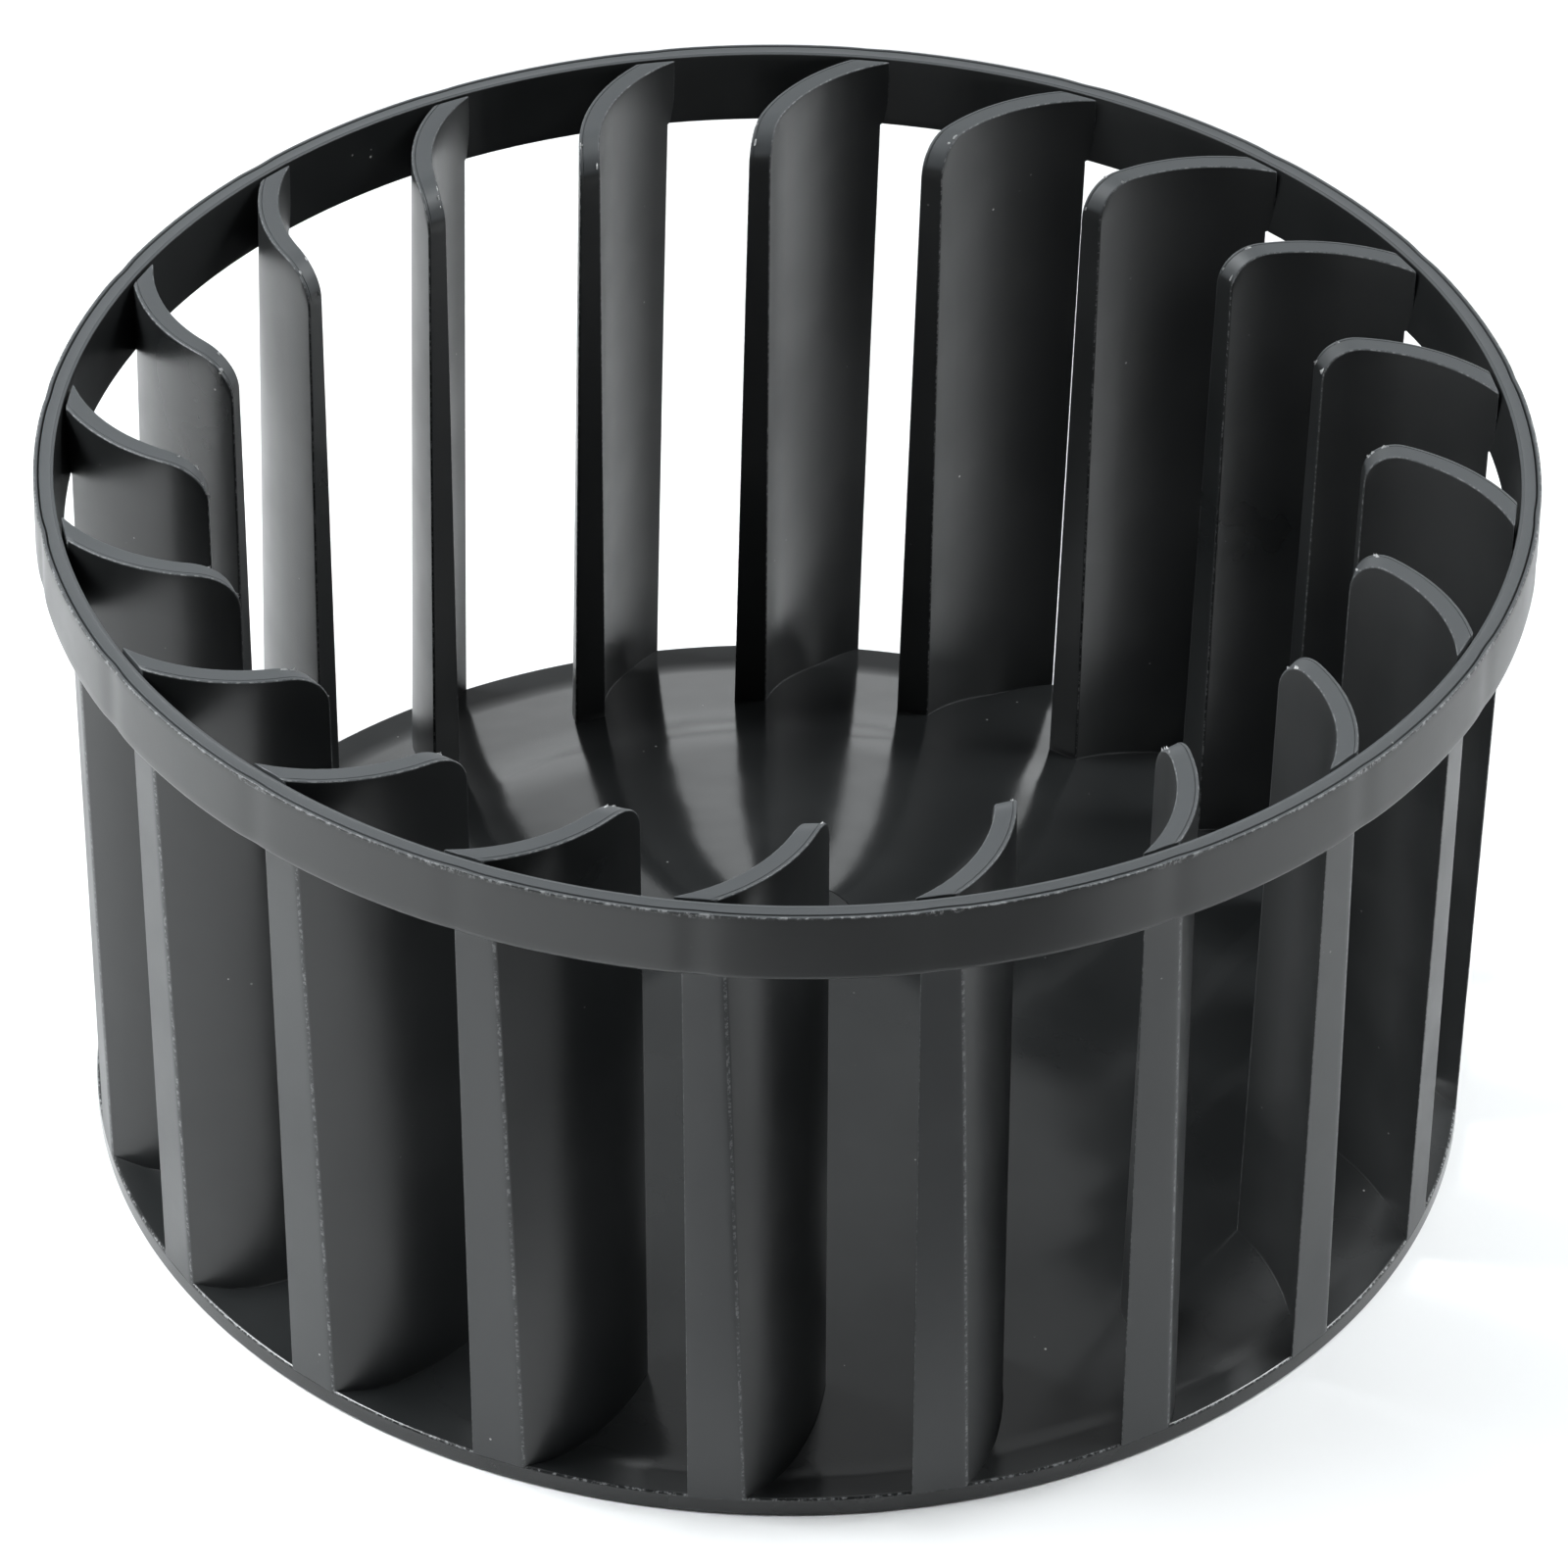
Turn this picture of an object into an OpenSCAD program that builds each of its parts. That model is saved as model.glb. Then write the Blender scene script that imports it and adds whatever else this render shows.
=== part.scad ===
// Centrifugal blower wheel: a closed back plate, forward-curved blades and an open end ring.
// The rotation axis is Z. The underside of the back plate lies at Z = 0 and the open inlet faces +Z.

/* [Wheel] */
// Outer diameter of the end ring, the widest part of the wheel
wheel_d = 146; // [130:1:170]
// Overall height, from the underside of the back plate to the top of the end ring
wheel_h = 76; // [50:1:110]

/* [End ring] */
// Height of the end ring
ring_h = 7.5; // [5:0.5:12]
// Wall of the end ring at its top edge
ring_wall = 2.0; // [1.6:0.1:3]
// Radius on the ring's outer bottom edge
ring_bottom_round = 0.8; // [0.3:0.1:1.2]

/* [Blades] */
// Mean radius of the arc that each blade follows, seen from above
blade_arc_r = 19.4; // [18:0.2:22]
// Radial depth of a blade, from its inner edge to the edge of the back plate
blade_depth = 14.0; // [11:0.5:16]
// Thickness of a blade where it meets the end ring
blade_top_t = 2.1; // [1.5:0.1:2.6]
// Thickness of a blade where it stands on the back plate
blade_base_t = 3.4; // [2.6:0.1:4]
// Radius that rounds the blade's inner top corner
blade_corner_r = 4.0; // [2:0.5:6]

/* [Back plate] */
// How far the back plate's edge lies inside the end ring's outer face
plate_inset = 4.0; // [3:0.5:6]
// Thickness of the back plate
plate_t = 2.1; // [1.6:0.1:3]
// Rise of the plate's outer cone, from its flat rim to the bend inside the blades
outer_cone_h = 3.9; // [2.5:0.1:5]
// Rise of the steeper band that follows
band_h = 2.6; // [1.5:0.1:4]
// Rise of the inner cone, from the steeper band to the hub
inner_cone_h = 9.0; // [7:0.1:11]

/* [Hub] */
// Diameter of the shaft bore
bore_d = 7.94; // [6:0.01:10]
// Outer diameter of the split fingers that the clamp closes on
finger_d = 13.6; // [13:0.2:14.6]
// Width of each slot between the fingers
slot_w = 1.5; // [1:0.1:2]
// Number of slots
slot_count = 4; // [3:1:5]
// Length of the slots, which is the length of the fingers
slot_l = 8.5; // [7.5:0.1:10]
// Width of the spring clamp's band
clamp_w = 6.0; // [4:0.1:6.5]
// Thickness of the spring clamp's band
clamp_t = 1.0; // [0.8:0.1:1.4]

/* [Hidden] */
$fn = 96;
blade_count = 20;
pitch = 360 / blade_count;
ring_r = wheel_d / 2;
ring_in_top = ring_r - ring_wall;
ring_in_bottom = ring_in_top - 0.8;
ring_z = wheel_h - ring_h;
plate_r = ring_r - plate_inset;
// The blade's arc: its centre lies this far from the axis, and clockwise of the blade
arc_centre_r = ring_r - 18.2;
first_blade_angle = -106.65;
blade_in_r = plate_r - blade_depth;
blade_in_lean = 1.1;
// Radii at which the back plate's section bends: flat rim, outer cone, steeper band, inner cone
rim_r = plate_r - 4;
bend_r = plate_r - 18;
band_r = plate_r - 25;
hub_r = 8;
hub_top = plate_t + outer_cone_h + band_h + inner_cone_h;
hub_end = 1.0;
collar_z = hub_top - plate_t - 0.4;
clamp_gap = 0.1;
clamp_z = hub_end + 1.0;
ear_w = 3.2;
split_w = 3.0;
eps = 0.01;
plastic = [0.11, 0.11, 0.12];
steel = [0.62, 0.63, 0.65];

blade_names = [for (i = [1 : blade_count]) str("blade_", i < 10 ? "0" : "", i)];

plate_bends = [
    [plate_r, plate_t],
    [rim_r, plate_t],
    [bend_r, plate_t + outer_cone_h],
    [band_r, plate_t + outer_cone_h + band_h],
    [hub_r, hub_top]
];
// Height of the plate's inlet side where the blades' inner edges stand
blade_foot_z = plate_t + outer_cone_h * (rim_r - blade_in_r) / (rim_r - bend_r);

module end_ring() {
    color(plastic)
    rotate_extrude()
    difference() {
        polygon([
            [ring_in_bottom, ring_z],
            [ring_r, ring_z],
            [ring_r, wheel_h],
            [ring_in_top, wheel_h]
        ]);
        translate([ring_r - ring_bottom_round, ring_z])
        difference() {
            translate([0, -eps]) square([ring_bottom_round + eps, ring_bottom_round + eps]);
            translate([0, ring_bottom_round]) circle(r = ring_bottom_round);
        }
    }
}

// Section that a blade sweeps when the wheel turns: it follows the plate below, the ring outside
module blade_band() {
    rotate_extrude()
    difference() {
        polygon([
            [plate_r, plate_t],
            [rim_r, plate_t],
            [blade_in_r, blade_foot_z],
            [blade_in_r + blade_in_lean, wheel_h],
            [ring_in_top, wheel_h],
            [ring_in_bottom, ring_z]
        ]);
        translate([blade_in_r + blade_in_lean - 1, wheel_h - blade_corner_r])
        difference() {
            square([blade_corner_r + 1, blade_corner_r + 1]);
            translate([blade_corner_r + 1, 0]) circle(r = blade_corner_r);
        }
    }
}

// Curved upright wall with moulding draft: both faces are cones about the blade's own centre
module blade_wall() {
    difference() {
        cylinder(h = wheel_h, r1 = blade_arc_r + blade_base_t / 2, r2 = blade_arc_r + blade_top_t / 2);
        translate([0, 0, -eps])
        cylinder(
            h = wheel_h + 2 * eps,
            r1 = blade_arc_r - blade_base_t / 2,
            r2 = blade_arc_r - blade_top_t / 2
        );
    }
}

module blade(index) {
    color(plastic)
    rotate([0, 0, first_blade_angle + pitch * index])
    intersection() {
        blade_band();
        translate([arc_centre_r, 0, 0]) blade_wall();
        translate([arc_centre_r - 8, 0, -1]) cube([40, 40, wheel_h + 2]);
    }
}

module back_plate() {
    color(plastic)
    rotate_extrude()
    polygon(concat(
        plate_bends,
        [for (i = [len(plate_bends) - 1 : -1 : 0]) plate_bends[i] - [0, plate_t]]
    ));
}

module hub() {
    color(plastic)
    difference() {
        union() {
            translate([0, 0, collar_z]) cylinder(h = hub_top - collar_z, r = hub_r);
            translate([0, 0, hub_end]) cylinder(h = collar_z - hub_end + 1, d = finger_d);
        }
        translate([0, 0, hub_end - 1]) cylinder(h = hub_top - hub_end + 2, d = bore_d);
        for (i = [0 : slot_count - 1])
            rotate([0, 0, (i + 0.5) * 360 / slot_count])
            translate([0, -slot_w / 2, hub_end - 1])
            cube([hub_r + 1, slot_w, slot_l + 1]);
    }
}

module hub_clamp() {
    inner = finger_d / 2 + clamp_gap;
    outer = inner + clamp_t;
    color(steel)
    translate([0, 0, clamp_z]) {
        difference() {
            cylinder(h = clamp_w, r = outer);
            translate([0, 0, -1]) cylinder(h = clamp_w + 2, r = inner);
            translate([0, -split_w / 2, -1]) cube([outer + 1, split_w, clamp_w + 2]);
        }
        for (side = [-1, 1])
            translate([inner + clamp_t / 2, side * (split_w / 2 + clamp_t / 2) - clamp_t / 2, 0])
            cube([ear_w, clamp_t, clamp_w]);
    }
}

end_ring();
back_plate();
hub();
hub_clamp();
for (i = [0 : blade_count - 1])
    blade(i);
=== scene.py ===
import math
import random

import bmesh
import bpy
import numpy as np
from mathutils import Matrix, Vector


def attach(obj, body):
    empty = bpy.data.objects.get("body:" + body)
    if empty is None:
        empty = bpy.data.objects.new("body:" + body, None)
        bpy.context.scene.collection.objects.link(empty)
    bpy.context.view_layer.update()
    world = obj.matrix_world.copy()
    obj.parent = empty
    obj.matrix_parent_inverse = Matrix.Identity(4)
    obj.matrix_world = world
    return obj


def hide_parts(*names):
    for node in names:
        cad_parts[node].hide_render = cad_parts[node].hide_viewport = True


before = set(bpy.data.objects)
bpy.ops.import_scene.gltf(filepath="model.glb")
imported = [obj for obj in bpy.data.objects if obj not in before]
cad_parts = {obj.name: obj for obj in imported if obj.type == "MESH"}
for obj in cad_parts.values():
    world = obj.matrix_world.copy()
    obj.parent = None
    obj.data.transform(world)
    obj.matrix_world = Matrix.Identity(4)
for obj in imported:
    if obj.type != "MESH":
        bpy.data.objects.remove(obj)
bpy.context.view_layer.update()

MM = 0.001
BLADES = 20
PITCH = 2 * math.pi / BLADES

# Sizes in millimetres, the same as the CAD model's unless a comment says otherwise
HEIGHT = 76.0
# End ring: outer radius, inner radius at the top and at the underside, height of the underside
RING_R, RING_IN_TOP, RING_IN_LOW, RING_Z = 73.0, 71.0, 70.2, 68.5
# Back plate: radius and thickness of the rim, then (radius, height) of each bend of its two faces
PLATE_R, PLATE_T = 69.0, 2.1
PLATE_BENDS = [(69.0, 2.1), (65.0, 2.1), (51.0, 6.0), (44.0, 8.6), (8.0, 17.6)]
PLATE_UNDER = [(8.0, 15.5), (44.0, 6.5), (51.0, 3.9), (65.0, 0.0), (69.0, 0.0)]
# Blades: each is a wall along an arc of ARC_R round a point ARC_CENTRE from the axis
ARC_CENTRE, ARC_R = 54.8, 19.4
FIRST_ANGLE = math.radians(-106.65)
# A blade's thickness at the bottom and at the top
T_BASE, T_TOP = 3.4, 2.1
# Radius of a blade's inner edge at its foot and at the top, and of the rounding between
# that edge and the top
IN_R, IN_R_TOP, CORNER_R = 55.0, 56.1, 4.0
# Hub and clamp
BORE_R, HUB_R, HUB_TOP_R = 3.97, 6.8, 8.0
HUB_LOW, HUB_STEP, HUB_TOP = 1.0, 15.1, 17.6
SLOT_W, SLOT_TOP = 1.5, 9.5
CLAMP_R, CLAMP_T, CLAMP_LOW, CLAMP_HIGH = 7.4, 1.0, 2.0, 8.0
EAR_X, EAR_Y = 10.6, 2.0

# Finer than the CAD model: rounded edges, root fillets, and how far the tops stay below the box
EDGE, FILLET = 0.2, 0.08
RING_TOP = HEIGHT - 0.05
BLADE_TOP = HEIGHT - 0.07
# Centre of the rounded inner corner at the top of a blade, as (radius, height)
CORNER = (IN_R_TOP + CORNER_R, BLADE_TOP - CORNER_R)

# Colours of the plastic, from its darkest to the pale marks on it
BASE_DARK = (0.0120, 0.0130, 0.0134, 1)
BASE_LIGHT = (0.0205, 0.0216, 0.0220, 1)
# Painted light: the lighter grey of the tops and, faintly, of the blades' outer edge faces, standing
# in for the light that falls on them
PAINTED_LIGHT_GREY = (0.064, 0.069, 0.073, 1)
# Pale grey of the scuffed edges; it also paints the highlight lines along the rounded edges
SCUFF_AND_HIGHLIGHT_GREY = (0.30, 0.305, 0.31, 1)
DUST = (0.55, 0.54, 0.52, 1)
# Pale greys of the mould flash: painted highlights on the blades' inner corners
FLASH_HIGHLIGHT_DIM, FLASH_HIGHLIGHT_BRIGHT = (0.2, 0.2, 0.205, 1), (0.8, 0.8, 0.8, 1)
STEEL_DARK, STEEL_LIGHT = (0.36, 0.36, 0.37, 1), (0.60, 0.60, 0.61, 1)
COOL_WHITE = (0.955, 0.985, 1.0)


# ---------------------------------------------------------------- camera
def make_camera():
    """Where the camera stands, and the three small turns that level and centre the view."""
    distance, elevation, aim_z = 946.3 * MM, 0.64891, 38.04 * MM
    pan, tilt, roll = -0.00019, -0.00193, -0.01719
    data = bpy.data.cameras.new("camera")
    data.sensor_width = 36
    data.lens = 218.8215
    data.clip_start = 0.05
    data.clip_end = 20
    place = Vector((0, -distance * math.cos(elevation), aim_z + distance * math.sin(elevation)))
    ahead = Vector((0, math.cos(elevation), -math.sin(elevation)))
    right = Vector((1, 0, 0))
    up = right.cross(ahead)
    turn = Matrix.Rotation(pan, 3, up)
    ahead, right = turn @ ahead, turn @ right
    turn = Matrix.Rotation(tilt, 3, right)
    ahead, up = turn @ ahead, turn @ up
    turn = Matrix.Rotation(roll, 3, ahead)
    right, up = turn @ right, turn @ up
    camera = link_new("camera", data)
    facing = Matrix((right, up, -ahead)).transposed()
    camera.matrix_world = Matrix.Translation(place) @ facing.to_4x4()
    bpy.context.scene.camera = camera


# ---------------------------------------------------------------- mesh helpers
def link_new(name, data):
    """New object in the scene."""
    obj = bpy.data.objects.new(name, data)
    bpy.context.scene.collection.objects.link(obj)
    return obj


def make_object(name, verts, faces, material, body="wheel", weld=True):
    """Smooth-shaded piece from vertices in millimetres, riding on a CAD body."""
    mesh = bpy.data.meshes.new(name)
    mesh.from_pydata([tuple(float(c) * MM for c in v) for v in verts], [], faces)
    bm = bmesh.new()
    bm.from_mesh(mesh)
    if weld:
        bmesh.ops.remove_doubles(bm, verts=bm.verts, dist=2e-6)
    bmesh.ops.recalc_face_normals(bm, faces=bm.faces)
    bm.to_mesh(mesh)
    bm.free()
    smooth(mesh, 50)
    obj = link_new(name, mesh)
    obj.data.materials.append(material)
    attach(obj, body)
    return obj


def smooth(mesh, sharp_degrees):
    """Smooth shading, except across edges that turn by more than sharp_degrees."""
    for polygon in mesh.polygons:
        polygon.use_smooth = True
    mesh.set_sharp_from_angle(angle=math.radians(sharp_degrees))


def paint(obj, name, values):
    """Stores one number per vertex for the material to read."""
    obj.data.attributes.new(name, "FLOAT", "POINT").data.foreach_set("value", values)


def by_place(obj, rule):
    """rule(r, z) for every vertex, r being its distance from the axis, in millimetres."""
    places = [v.co / MM for v in obj.data.vertices]
    return [float(rule(math.hypot(x, y), z)) for x, y, z in places]


def even_normals(obj):
    """Shading normals follow the large faces, so that flat areas look flat up to their edges."""
    mod = obj.modifiers.new("normals", "WEIGHTED_NORMAL")
    mod.keep_sharp = True
    mod.weight = 50


def soften(obj, name, width):
    """A small bevel on the sharp edges."""
    mod = obj.modifiers.new(name, "BEVEL")
    mod.width = width * MM
    mod.segments = 2
    mod.limit_method = "ANGLE"
    mod.angle_limit = math.radians(60)
    mod.harden_normals = True


def turned(points, angle):
    """Points turned round Z."""
    c, s = math.cos(angle), math.sin(angle)
    return [(x * c - y * s, x * s + y * c, z) for x, y, z in points]


def lathe(section, count, push=None):
    """Closed section of (r, z) points turned round Z; push(angle, r) moves a point outwards."""
    n = len(section)
    verts, faces = [], []
    for k in range(count):
        a = 2 * math.pi * k / count
        for r, z in section:
            out = r + (push(a, r) if push else 0)
            verts.append((out * math.cos(a), out * math.sin(a), z))
    for k in range(count):
        m = (k + 1) % count
        for i in range(n):
            j = (i + 1) % n
            faces.append((k * n + i, m * n + i, m * n + j, k * n + j))
    return verts, faces


def rounded(points, radii, steps):
    """Closed section whose corner i is rounded to radii[i]."""
    out = []
    n = len(points)
    for i, radius in enumerate(radii):
        p = np.array(points[i], float)
        a = np.array(points[i - 1], float) - p
        b = np.array(points[(i + 1) % n], float) - p
        len_a, len_b = np.linalg.norm(a), np.linalg.norm(b)
        a, b = a / len_a, b / len_b
        half = math.acos(max(-1, min(1, float(a @ b)))) / 2
        if radius <= 0 or half > math.pi / 2 - 0.002:
            out.append(tuple(p))
            continue
        # the arc uses at most just under half of each side
        cut = min(radius / math.tan(half), 0.48 * len_a, 0.48 * len_b)
        radius = cut * math.tan(half)
        middle = a + b
        centre = p + middle / np.linalg.norm(middle) * (radius / math.sin(half))
        start, end = p + a * cut - centre, p + b * cut - centre
        sweep = math.atan2(start[0] * end[1] - start[1] * end[0], float(start @ end))
        for k in range(steps + 1):
            c, s = math.cos(sweep * k / steps), math.sin(sweep * k / steps)
            out.append((centre[0] + start[0] * c - start[1] * s,
                        centre[1] + start[0] * s + start[1] * c))
    return out


def subdivided(section, limit, step):
    """Closed section with points added about every step along each side longer than limit."""
    out = []
    for i, p in enumerate(section):
        q = section[(i + 1) % len(section)]
        gap = math.dist(p, q)
        parts = int(gap / step) + 1 if gap > limit else 1
        out += [(p[0] + (q[0] - p[0]) * k / parts, p[1] + (q[1] - p[1]) * k / parts)
                for k in range(parts)]
    return out


def ease(t):
    """Smooth step from 0 to 1."""
    t = max(0.0, min(1.0, t))
    return t * t * (3 - 2 * t)


# ---------------------------------------------------------------- materials
class Graph:
    """A node tree, with short names for the nodes that the materials and the world share."""

    def __init__(self, owner, shader="Principled BSDF", coords="Object"):
        owner.use_nodes = True
        self.nodes, self.links = owner.node_tree.nodes, owner.node_tree.links
        self.shader = self.nodes[shader]
        self.coord = self.nodes.new("ShaderNodeTexCoord").outputs[coords]

    def feed(self, value, socket):
        """Links an output to the socket, or sets the socket to a plain value."""
        if isinstance(value, (int, float, tuple)):
            socket.default_value = value
        else:
            self.links.new(value, socket)

    def noise(self, scale, detail, rough=0.55):
        n = self.nodes.new("ShaderNodeTexNoise")
        n.inputs["Scale"].default_value = scale
        n.inputs["Detail"].default_value = detail
        n.inputs["Roughness"].default_value = rough
        self.links.new(self.coord, n.inputs["Vector"])
        return n.outputs["Fac"]

    def cells(self, scale):
        n = self.nodes.new("ShaderNodeTexVoronoi")
        n.inputs["Scale"].default_value = scale
        self.links.new(self.coord, n.inputs["Vector"])
        return n.outputs["Distance"]

    def attribute(self, name):
        n = self.nodes.new("ShaderNodeAttribute")
        n.attribute_name = name
        return n.outputs["Fac"]

    def remap(self, source, lo, hi, out_lo=0.0, out_hi=1.0):
        n = self.nodes.new("ShaderNodeMapRange")
        n.inputs["From Min"].default_value = lo
        n.inputs["From Max"].default_value = hi
        n.inputs["To Min"].default_value = out_lo
        n.inputs["To Max"].default_value = out_hi
        self.links.new(source, n.inputs["Value"])
        return n.outputs["Result"]

    def math(self, operation, a, b):
        n = self.nodes.new("ShaderNodeMath")
        n.operation = operation
        self.feed(a, n.inputs[0])
        self.feed(b, n.inputs[1])
        return n.outputs["Value"]

    def blend(self, fac, a, b):
        """Colour a where fac is 0, colour b where it is 1."""
        n = self.nodes.new("ShaderNodeMix")
        n.data_type = "RGBA"
        self.links.new(fac, n.inputs[0])
        self.feed(a, n.inputs[6])
        self.feed(b, n.inputs[7])
        return n.outputs[2]

    def bump(self, height, strength, distance, below=None):
        n = self.nodes.new("ShaderNodeBump")
        n.inputs["Strength"].default_value = strength
        n.inputs["Distance"].default_value = distance
        self.links.new(height, n.inputs["Height"])
        if below:
            self.links.new(below, n.inputs["Normal"])
        return n.outputs["Normal"]


def black_plastic(name, rough_lo, rough_hi):
    """Moulded black plastic: slow changes of colour and gloss, fine grain, scuffed edges that also
    paint highlights along them, tops painted lighter as painted light, dust.
    """
    mat = bpy.data.materials.new(name)
    g = Graph(mat)
    broad = g.noise(42, 4)
    cloudy = g.noise(9, 3)
    # Painted light: the tops are painted a lighter grey, standing in for the light that falls on
    # them, and made a little rougher
    painted_light = g.attribute("face")
    # small round specks where the cell distance is least, thinned by a second pattern
    speck = g.math("MULTIPLY", g.remap(g.cells(520), 0.075, 0.045),
                   g.remap(g.noise(130, 2), 0.62, 0.68))
    # Scuffs on the edges, broken up by noise: partly real scuffing, partly painted highlight lines
    # along the rounded edges
    scuff_and_highlight = g.math("MULTIPLY", g.remap(g.attribute("edge"), 0.55, 1.0),
                   g.remap(g.noise(2100, 3, 0.7), 0.48, 0.62))

    color = g.blend(g.remap(broad, 0.32, 0.68), BASE_DARK, BASE_LIGHT)
    color = g.blend(g.math("MULTIPLY", painted_light, 0.8), color, PAINTED_LIGHT_GREY)
    color = g.blend(g.math("MULTIPLY", scuff_and_highlight, 0.75), color, SCUFF_AND_HIGHLIGHT_GREY)
    color = g.blend(g.math("MULTIPLY", speck, 0.8), color, DUST)
    g.links.new(color, g.shader.inputs["Base Color"])

    mix = g.math("ADD", g.math("MULTIPLY", broad, 0.6), g.math("MULTIPLY", cloudy, 0.4))
    rough = g.remap(mix, 0.35, 0.65, rough_lo, rough_hi)
    rough = g.math("ADD", rough, g.math("MULTIPLY", g.math("MAXIMUM", scuff_and_highlight, speck), 0.3))
    rough = g.math("ADD", rough, g.math("MULTIPLY", painted_light, 0.12))
    g.links.new(rough, g.shader.inputs["Roughness"])

    grain = g.bump(g.noise(2600, 2), 0.35, 0.01 * MM)
    ripple = g.bump(g.noise(70, 2), 0.6, 0.22 * MM, below=grain)
    g.links.new(ripple, g.shader.inputs["Normal"])
    return mat


def flash_painted_highlight():
    """Slivers of mould flash, painted pale grey to near white: painted highlights on the blades'
    inner corners.
    """
    mat = bpy.data.materials.new("flash_with_painted_highlight")
    g = Graph(mat)
    tone = g.noise(1800, 3)
    color = g.blend(g.remap(tone, 0.35, 0.65), FLASH_HIGHLIGHT_DIM, FLASH_HIGHLIGHT_BRIGHT)
    g.links.new(color, g.shader.inputs["Base Color"])
    g.links.new(g.remap(tone, 0.3, 0.7, 0.35, 0.6), g.shader.inputs["Roughness"])
    return mat


def spring_steel():
    """Bright strip with fine streaks along it."""
    mat = bpy.data.materials.new("spring_steel")
    g = Graph(mat)
    mapping = g.nodes.new("ShaderNodeMapping")
    mapping.inputs["Scale"].default_value = (1, 1, 14)
    g.links.new(g.coord, mapping.inputs["Vector"])
    g.coord = mapping.outputs["Vector"]
    streaks = g.noise(260, 4, 0.5)
    g.links.new(g.blend(streaks, STEEL_DARK, STEEL_LIGHT), g.shader.inputs["Base Color"])
    g.links.new(g.remap(streaks, 0, 1, 0.24, 0.42), g.shader.inputs["Roughness"])
    g.shader.inputs["Metallic"].default_value = 1.0
    return mat


plastic = black_plastic("moulded_black", 0.27, 0.46)
plate_plastic = black_plastic("moulded_black_plate", 0.10, 0.19)
flash_highlight_plastic = flash_painted_highlight()
steel = spring_steel()


# ---------------------------------------------------------------- blades
# Rows of vertices up a blade's wall: heights above its foot, then the counts up to the ring
# and inside the ring
FOOT_STEPS = [0.0, 0.1, 0.2, 0.32, 0.46, 0.62, 0.8, 1.0]
LOWER_ROWS, RING_ROWS = 18, 5
ROWS = len(FOOT_STEPS) + LOWER_ROWS + RING_ROWS
TOP_STEPS, CORNER_STEPS = 14, 12


def plate_z(r):
    """Height of the back plate's upper face."""
    radii, heights = zip(*reversed(PLATE_BENDS))
    return float(np.interp(r, radii, heights))


FOOT_Z = plate_z(IN_R)


def outer_r(z):
    """Radius of a blade's outer edge, which runs from the plate's rim into the ring."""
    if z < 1.9:
        return PLATE_R - 0.02
    r = PLATE_R + (RING_IN_LOW - PLATE_R) * (z - PLATE_T) / (RING_Z - PLATE_T)
    return min(r, RING_IN_TOP) + 0.35 * ease((z - RING_Z) / 0.4)


def inner_r(z):
    """Radius of a blade's inner edge."""
    return IN_R + (IN_R_TOP - IN_R) * (z - FOOT_Z) / (HEIGHT - FOOT_Z)


def on_arc(r, side_r):
    """Point r from the axis on the circle of radius side_r about the blade's centre."""
    u = (r * r + ARC_CENTRE ** 2 - side_r ** 2) / (2 * ARC_CENTRE)
    return u, math.sqrt(max(r * r - u * u, 0))


def drafted_half(z):
    """Half of a blade's thickness, which the moulding draft thins towards the top."""
    return (T_BASE + (T_TOP - T_BASE) * z / HEIGHT) / 2


def half_at(r, z):
    """The same with the tiny fillet where the blade meets the plate."""
    half = drafted_half(z)
    above = z - plate_z(r)
    if above < FILLET:
        q = FILLET - max(above, 0.0)
        fillet = FILLET - math.sqrt(max(FILLET ** 2 - q * q, 0.0))
        half += fillet * ease((PLATE_R - r) / 5)
    return half


def top_outline():
    """Along a blade's top and round its inner corner: r, z and the outward direction."""
    start = RING_IN_TOP + 0.3
    outline = [(start - (start - CORNER[0]) * k / TOP_STEPS, BLADE_TOP - EDGE, 0.0, 1.0)
               for k in range(TOP_STEPS + 1)]
    q = CORNER_R - EDGE
    for k in range(1, CORNER_STEPS + 1):
        t = math.radians(90) * k / CORNER_STEPS
        outline.append((CORNER[0] - q * math.sin(t), CORNER[1] + q * math.cos(t),
                        -math.sin(t), math.cos(t)))
    return outline


def row_heights(low, top):
    """Heights up one column: close together at the foot, then up to the ring and inside it."""
    foot_top = low + FOOT_STEPS[-1]
    rise = RING_Z - 0.02 - foot_top
    in_ring = RING_Z + 0.4
    return ([low + step for step in FOOT_STEPS]
            + [foot_top + rise * (k + 1) / LOWER_ROWS for k in range(LOWER_ROWS)]
            + [in_ring + (top - in_ring) * k / (RING_ROWS - 1) for k in range(RING_ROWS)])


def wall_grid(outline):
    """(r, z) columns of a blade's wall, from the outer edge to the inner one."""
    grid = []
    for i, (r_top, z_top, _, _) in enumerate(outline):
        outer, inner = outer_r(z_top) - EDGE, inner_r(z_top) + EDGE
        across = min(1.0, (outer - r_top) / (outer - inner)) if i else 0.0
        foot_r = PLATE_R + (IN_R - PLATE_R) * across
        # the foot sinks into the plate, deeper at the thin rim
        low = plate_z(foot_r) - (0.5 if foot_r > 66 else 0.12)
        column = []
        for z in row_heights(low, z_top):
            outer, inner = outer_r(z) - EDGE, inner_r(z) + EDGE
            column.append((outer + (inner - outer) * across, z))
        grid.append(column)
    return grid


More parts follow.
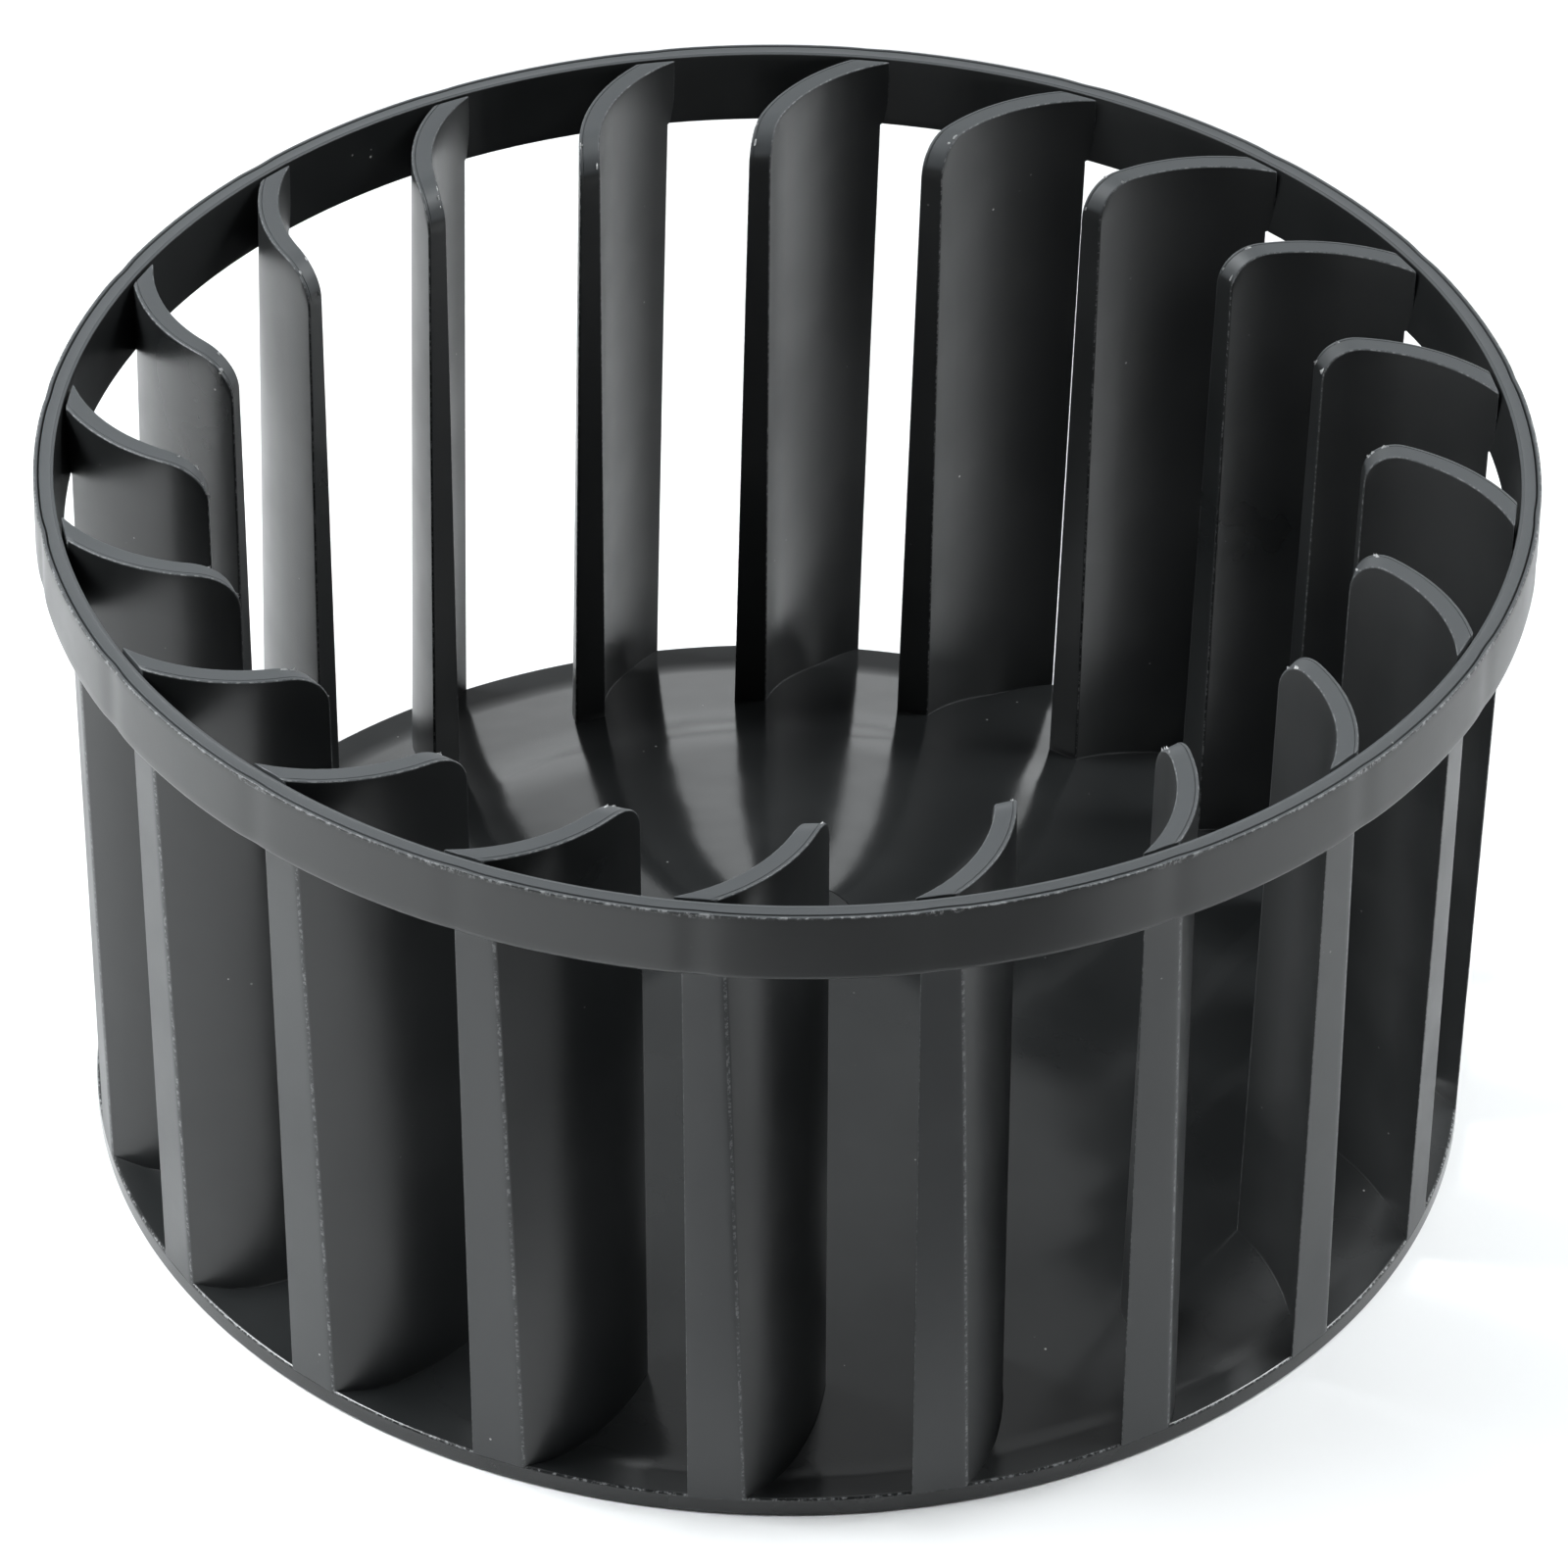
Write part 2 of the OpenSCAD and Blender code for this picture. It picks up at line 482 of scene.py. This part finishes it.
class Shell:
    """A blade's mesh in its own place, with the two numbers that the material reads: scuffs that also
    paint highlights on the edges, and painted light on the top.
    """

    def __init__(self):
        self.verts, self.faces, self.wear, self.painted_light = [], [], [], []

    def add(self, r, z, w, wear=0.0, painted_light=0.0):
        """Vertex r from the axis at height z, w away from the middle of the wall."""
        self.verts.append((*on_arc(r, ARC_R + w), z))
        self.wear.append(wear)
        self.painted_light.append(painted_light)
        return len(self.verts) - 1


def add_walls(shell, grid):
    """The convex and the concave face; returns both grids of vertex numbers."""
    sides = []
    for side in (1, -1):
        ids = [[shell.add(r, z, side * half_at(r, z)) for r, z in column] for column in grid]
        sides.append(ids)
        for left, right in zip(ids, ids[1:]):
            for j in range(ROWS - 1):
                face = (left[j], right[j], right[j + 1], left[j + 1])
                shell.faces.append(face if side > 0 else face[::-1])
    return sides


def add_edge_faces(shell, grid, outline, sides):
    """Narrow faces up the outer edge, along the top, round the corner and down the inner edge."""
    last = len(grid) - 1
    stations = [(0, j, 1.0, 0.0) for j in range(ROWS - 1)]
    stations += [(0, ROWS - 1, 0.7, 0.7)]
    stations += [(i, ROWS - 1, *outline[i][2:]) for i in range(1, last + 1)]
    stations += [(last, j, -1.0, 0.0) for j in range(ROWS - 2, -1, -1)]
    arc = [math.radians(a) for a in (30, 60, 90)]
    loops = []
    for i, j, out_r, out_z in stations:
        r, z = grid[i][j]
        half = half_at(r, z)
        flare = half - drafted_half(z) if out_r < 0 and out_z == 0 else 0.0
        # Painted light: the top and the upper corner are painted lighter in full, the outer edge
        # faintly
        painted_light = 1.0 if out_z > 0.3 else (0.35 if out_r > 0 else 0.0)

        def point(out, w, wear=0.0):
            out += flare
            return shell.add(r + out_r * out, z + out_z * out, w, wear, painted_light)

        # a rounded edge, a fine line left by the mould, and the other rounded edge
        loop = [sides[0][i][j]]
        # The scuff mask is strongest half way round each rounded edge, where it paints a highlight
        # line as well as scuffing
        loop += [point(EDGE * math.sin(a), half - EDGE * (1 - math.cos(a)), math.sin(2 * a))
                 for a in arc]
        loop += [point(EDGE - sunk * ease(out_z * 2), half - w)
                 for w, sunk in ((0.34, 0.0), (0.39, 0.08), (0.44, 0.0))]
        loop += [point(EDGE * math.sin(a), -half + EDGE * (1 - math.cos(a)), math.sin(2 * a))
                 for a in arc[::-1]]
        loop.append(sides[1][i][j])
        loops.append(loop)
    for p, q in zip(loops, loops[1:]):
        shell.faces += [(p[k], p[k + 1], q[k + 1], q[k]) for k in range(len(p) - 1)]
    return loops


def add_flash(shell, rng):
    """A few thin ridges of mould flash round the blade's inner corner."""
    count, sunk = 6, 0.06
    for _ in range(rng.choice((2, 3, 3, 4))):
        middle = math.radians(rng.uniform(10, 80))
        span = rng.uniform(0.05, 0.2)
        across = rng.choice((-1, 1)) * rng.uniform(0.55, 0.85) * T_TOP / 2
        width = rng.uniform(0.07, 0.14)
        left, ridge, right = [], [], []
        for k in range(count + 1):
            t = middle + span * (k / count - 0.5)
            tall = rng.uniform(0.08, 0.34) * math.sin(math.pi * k / count)
            for line, w, q in ((left, across - width, CORNER_R - sunk),
                               (ridge, across, CORNER_R + tall),
                               (right, across + width, CORNER_R - sunk)):
                z = min(CORNER[1] + q * math.cos(t), HEIGHT - 0.01)
                line.append(shell.add(CORNER[0] - q * math.sin(t), z, w))
        for k in range(count):
            for a, b in ((left, ridge), (ridge, right), (right, left)):
                shell.faces.append((a[k], a[k + 1], b[k + 1], b[k]))
        shell.faces.append((left[0], ridge[0], right[0]))
        shell.faces.append((left[-1], right[-1], ridge[-1]))


def build_blade(index):
    """A curved wall with rounded edges, moulding draft and a rounded inner corner."""
    outline = top_outline()
    grid = wall_grid(outline)
    shell = Shell()
    sides = add_walls(shell, grid)
    loops = add_edge_faces(shell, grid, outline, sides)
    # the foot, inside the plate
    convex, concave = sides
    for i in range(len(grid) - 1):
        shell.faces.append((convex[i][0], concave[i][0], concave[i + 1][0], convex[i + 1][0]))
    shell.faces.append(tuple(loops[0]))
    shell.faces.append(tuple(loops[-1]))
    first_flash = len(shell.faces)
    add_flash(shell, random.Random(300 + index))

    placed = turned(shell.verts, FIRST_ANGLE + PITCH * index)
    obj = make_object("blade_wall_%02d" % (index + 1), placed, shell.faces, plastic, weld=False)
    # The flash ridges get the pale material: painted highlights on the inner corner
    obj.data.materials.append(flash_highlight_plastic)
    for polygon in obj.data.polygons[first_flash:]:
        polygon.material_index = 1
    paint(obj, "edge", shell.wear)
    paint(obj, "face", shell.painted_light)
    even_normals(obj)
    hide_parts("blade_%02d" % (index + 1))


# ---------------------------------------------------------------- ring
def build_ring():
    """Open ring with a shallow groove and a raised mould line on its top, and sink marks."""
    groove_r, line_r = RING_R - 0.5, RING_IN_TOP + 0.34
    corners = [(RING_IN_LOW, RING_Z), (RING_R, RING_Z), (RING_R, RING_TOP),
               (groove_r + 0.14, RING_TOP), (groove_r, RING_TOP - 0.32), (groove_r - 0.12, RING_TOP),
               (line_r + 0.1, RING_TOP), (line_r, HEIGHT), (line_r - 0.1, RING_TOP),
               (RING_IN_TOP, RING_TOP)]
    radii = [0.15, 0.8, 0.3, 0.04, 0.0, 0.04, 0.0, 0.03, 0.0, 0.15]
    section = subdivided(rounded(corners, radii, steps=5), 1.2, 0.9)

    # where the blades meet the ring, each with a sink mark in the ring's outer face
    sink_width, outer_from = 1.3, 71.9
    junction = FIRST_ANGLE + math.atan2(*on_arc(70.5, ARC_R)[::-1])
    rng = random.Random(11)
    depth = [rng.uniform(0.08, 0.14) for _ in range(BLADES)]
    waves = [(rng.randint(2, 9), rng.uniform(0, 6.28), rng.uniform(0.004, 0.012)) for _ in range(6)]

    def push(angle, r):
        if r < outer_from:
            return 0.0
        k = (angle - junction) / PITCH
        off = math.degrees((k - round(k)) * PITCH)
        out = -depth[round(k) % BLADES] * math.exp(-(off / sink_width) ** 2)
        out -= 0.03 + sum(h * math.sin(n * angle + phase) for n, phase, h in waves) * 0.6
        return min(out, 0.0) * ease((r - outer_from) / 0.6)

    # Scuffs with a painted highlight line along the ring's outer top edge, and a weak mask on the
    # mould line
    def wear(r, z):
        outer = math.exp(-((r - RING_R + 0.14) / 0.14) ** 2 - ((z - RING_TOP + 0.1) / 0.14) ** 2)
        line = math.exp(-((r - line_r) / 0.1) ** 2) * (z > RING_TOP - 0.01)
        return 1.6 * outer + 0.5 * line

    verts, faces = lathe(section, 1440, push)
    obj = make_object("inlet_ring", verts, faces, plastic)
    paint(obj, "edge", by_place(obj, wear))
    # Painted light: the ring's top face is painted lighter
    paint(obj, "face", by_place(obj, lambda r, z: z > RING_TOP - 0.04))
    even_normals(obj)
    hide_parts("end_ring")


# ---------------------------------------------------------------- back plate
def build_plate():
    """Closed plate whose two inner bends are blended into soft curves."""
    radii = [0.35, 9, 200, 200, 0.0, 0.0, 200, 200, 9, 0.3]
    section = subdivided(rounded(PLATE_BENDS + PLATE_UNDER, radii, steps=8), 2.5, 2.2)

    # Scuffs with a painted highlight line along the rim's top outer edge
    def wear(r, z):
        return math.exp(-((r - PLATE_R + 0.12) / 0.2) ** 2 - ((z - PLATE_T + 0.12) / 0.25) ** 2)

    verts, faces = lathe(section, 720)
    obj = make_object("closed_back_plate", verts, faces, plate_plastic)
    paint(obj, "face", by_place(obj, lambda r, z: 0.0))
    paint(obj, "edge", by_place(obj, wear))
    even_normals(obj)
    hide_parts("back_plate")


# ---------------------------------------------------------------- hub and its clamp
def cut_slot(obj, degrees, drop):
    """Cuts one slot right across the hub, from below; drop lowers the cutter a little."""
    reach, half_w = 12, SLOT_W / 2
    outline = [(-reach, -half_w), (reach, -half_w), (reach, half_w), (-reach, half_w)]
    box = [(x, y, z) for z in (-1.0 - drop, SLOT_TOP - drop) for x, y in outline]
    box = [tuple(c * MM for c in v) for v in turned(box, math.radians(degrees))]
    mesh = bpy.data.meshes.new("cutter")
    mesh.from_pydata(box, [], [(3, 2, 1, 0), (4, 5, 6, 7), (0, 1, 5, 4),
                               (1, 2, 6, 5), (2, 3, 7, 6), (3, 0, 4, 7)])
    cutter = link_new("cutter", mesh)
    mod = obj.modifiers.new("slots", "BOOLEAN")
    mod.operation = "DIFFERENCE"
    mod.solver = "EXACT"
    mod.object = cutter
    evaluated = obj.evaluated_get(bpy.context.evaluated_depsgraph_get())
    solid = bpy.data.meshes.new_from_object(evaluated)
    obj.modifiers.clear()
    obj.data = solid
    bpy.data.objects.remove(cutter)


def build_hub():
    """Boss with a round bore and four fingers."""
    corners = [(BORE_R, HUB_LOW), (HUB_R, HUB_LOW), (HUB_R, HUB_STEP),
               (HUB_TOP_R, HUB_STEP), (HUB_TOP_R, HUB_TOP), (BORE_R, HUB_TOP)]
    radii = [0.3, 0.3, 0.0, 0.2, 0.15, 0.4]
    section = subdivided(rounded(corners, radii, steps=4), 1.5, 1.2)
    verts, faces = lathe(section, 144)
    obj = make_object("slotted_hub", verts, faces, plastic)
    # the second cut ends lower, so that the two share no plane
    cut_slot(obj, 45, 0.0)
    cut_slot(obj, 135, 0.01)
    smooth(obj.data, 40)
    soften(obj, "soft_edges", 0.15)
    paint(obj, "edge", by_place(obj, lambda r, z: 0.0))
    paint(obj, "face", by_place(obj, lambda r, z: 0.0))
    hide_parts("hub")


def clamp_path():
    """Middle line of the clamp's strip, from one ear's end round the hub to the other's."""
    bend = 0.9
    # centre of the bend that joins the ear to the band
    centre_y = EAR_Y + bend
    centre_x = math.sqrt((CLAMP_R + bend) ** 2 - centre_y ** 2)
    meet = math.atan2(centre_y, centre_x)
    half = [(EAR_X - (EAR_X - centre_x) * k / 8, EAR_Y) for k in range(9)]
    start, stop = -math.pi / 2, meet - math.pi
    for k in range(1, 9):
        t = start + (stop - start) * k / 8
        half.append((centre_x + bend * math.cos(t), centre_y + bend * math.sin(t)))
    for k in range(1, 61):
        t = meet + (math.pi - meet) * k / 60
        half.append((CLAMP_R * math.cos(t), CLAMP_R * math.sin(t)))
    return half + [(x, -y) for x, y in half[:-1][::-1]]


def build_clamp():
    """Split band of spring steel with two ears, whose outer corners are rounded off."""
    path = clamp_path()
    half_t = CLAMP_T / 2
    corners = [(-half_t, CLAMP_LOW), (half_t, CLAMP_LOW), (half_t, CLAMP_HIGH), (-half_t, CLAMP_HIGH)]
    section = rounded(corners, [0.22] * 4, steps=4)
    m, last = len(section), len(path) - 1
    ear_round = 0.8
    middle_z, straight = (CLAMP_LOW + CLAMP_HIGH) / 2, (CLAMP_HIGH - CLAMP_LOW) / 2 - ear_round
    verts, faces = [], []
    for i, p in enumerate(path):
        before, after = path[max(i - 1, 0)], path[min(i + 1, last)]
        along_x, along_y = after[0] - before[0], after[1] - before[1]
        size = math.hypot(along_x, along_y)
        for w, z in section:
            x, y = p[0] - along_y / size * w, p[1] + along_x / size * w
            if i in (0, last):
                over = max(0.0, abs(z - middle_z) - straight)
                x -= ear_round - math.sqrt(max(ear_round ** 2 - over * over, 0.0))
            verts.append((x, y, z))
    for i in range(last):
        for j in range(m):
            k = (j + 1) % m
            faces.append((i * m + j, i * m + k, (i + 1) * m + k, (i + 1) * m + j))
    faces.append(tuple(range(m)))
    faces.append(tuple(range(last * m, (last + 1) * m))[::-1])
    obj = make_object("spring_clamp", verts, faces, steel, body="clamp")
    soften(obj, "soft_ends", 0.12)
    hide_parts("hub_clamp")


# ---------------------------------------------------------------- floor, light and surroundings
def flat_sheet(name, corners, z, material, grey, roughness, specular):
    """Level sheet of one plain grey, with its corners listed anticlockwise from above, in metres."""
    mat = bpy.data.materials.new(material)
    mat.use_nodes = True
    bsdf = mat.node_tree.nodes["Principled BSDF"]
    bsdf.inputs["Base Color"].default_value = (grey, grey, grey, 1)
    bsdf.inputs["Roughness"].default_value = roughness
    bsdf.inputs["Specular IOR Level"].default_value = specular
    mesh = bpy.data.meshes.new(name)
    mesh.from_pydata([(x, y, z) for x, y in corners], [], [(0, 1, 2, 3)])
    mesh.materials.append(mat)
    return link_new(name, mesh)


def build_floor():
    """One plain pale sheet, wide enough to fill every view."""
    side = 6.0
    corners = [(-side, -side), (side, -side), (side, side), (-side, side)]
    floor = flat_sheet("floor", corners, -0.00005, "pale_floor", 0.86, 0.6, 0.2)


def build_card():
    """Grey card in front of the wheel that only reflections see: it gives the ring's dark band."""
    corners = [(-0.050, -0.40), (0.38, -0.40), (0.062, -0.088), (-0.010, -0.088)]
    card = flat_sheet("flag_card", corners, 0.0006, "grey_card", 0.22, 0.8, 0.5)
    card.visible_camera = False
    card.visible_shadow = False


def area_light(name, place, target, size, power, spread=180):
    """Rectangular light at place, turned to target."""
    data = bpy.data.lights.new(name, "AREA")
    data.shape = "RECTANGLE"
    data.size, data.size_y = size
    data.energy = power
    data.color = COOL_WHITE
    data.spread = math.radians(spread)
    light = link_new(name, data)
    light.location = place
    light.rotation_mode = "QUATERNION"
    light.rotation_quaternion = (Vector(target) - Vector(place)).to_track_quat("-Z", "Y")


def build_world():
    """White surroundings, brightest low down behind the wheel, dimmer overhead and in front."""
    world = bpy.data.worlds.new("studio")
    bpy.context.scene.world = world
    g = Graph(world, shader="Background", coords="Generated")
    split = g.nodes.new("ShaderNodeSeparateXYZ")
    g.links.new(g.coord, split.inputs[0])
    low_to_high = g.remap(split.outputs["Z"], 0.12, 0.75, 1.35, 0.22)
    front_to_back = g.remap(split.outputs["Y"], -0.4, 0.25, 0.1, 1.0)
    g.links.new(g.math("MULTIPLY", low_to_high, front_to_back), g.shader.inputs["Strength"])
    g.shader.inputs["Color"].default_value = (*COOL_WHITE, 1)


def set_view():
    """Colours come out as they are lit."""
    view = bpy.context.scene.view_settings
    view.view_transform = "Standard"
    view.look = "None"
    view.exposure = 0.0
    view.gamma = 1.0


make_camera()
for number in range(BLADES):
    build_blade(number)
build_ring()
build_plate()
build_hub()
build_clamp()

build_floor()
build_card()
build_world()
area_light("left_softbox", (-0.58, 0.0, 0.5), (-0.27, -0.06, 0), (0.45, 0.45), 2.1, 62)
area_light("right_softbox", (0.6, 0.1, 0.55), (0.27, -0.02, 0), (0.45, 0.45), 1.4, 62)
area_light("front_strip", (-0.15, -1.6, 0.32), (0, 0, 0.04), (0.5, 0.2), 1.6)
area_light("top_softbox", (0.0, 0.4, 1.5), (0.0, 0.1, 0), (1.9, 1.5), 5.0)
set_view()
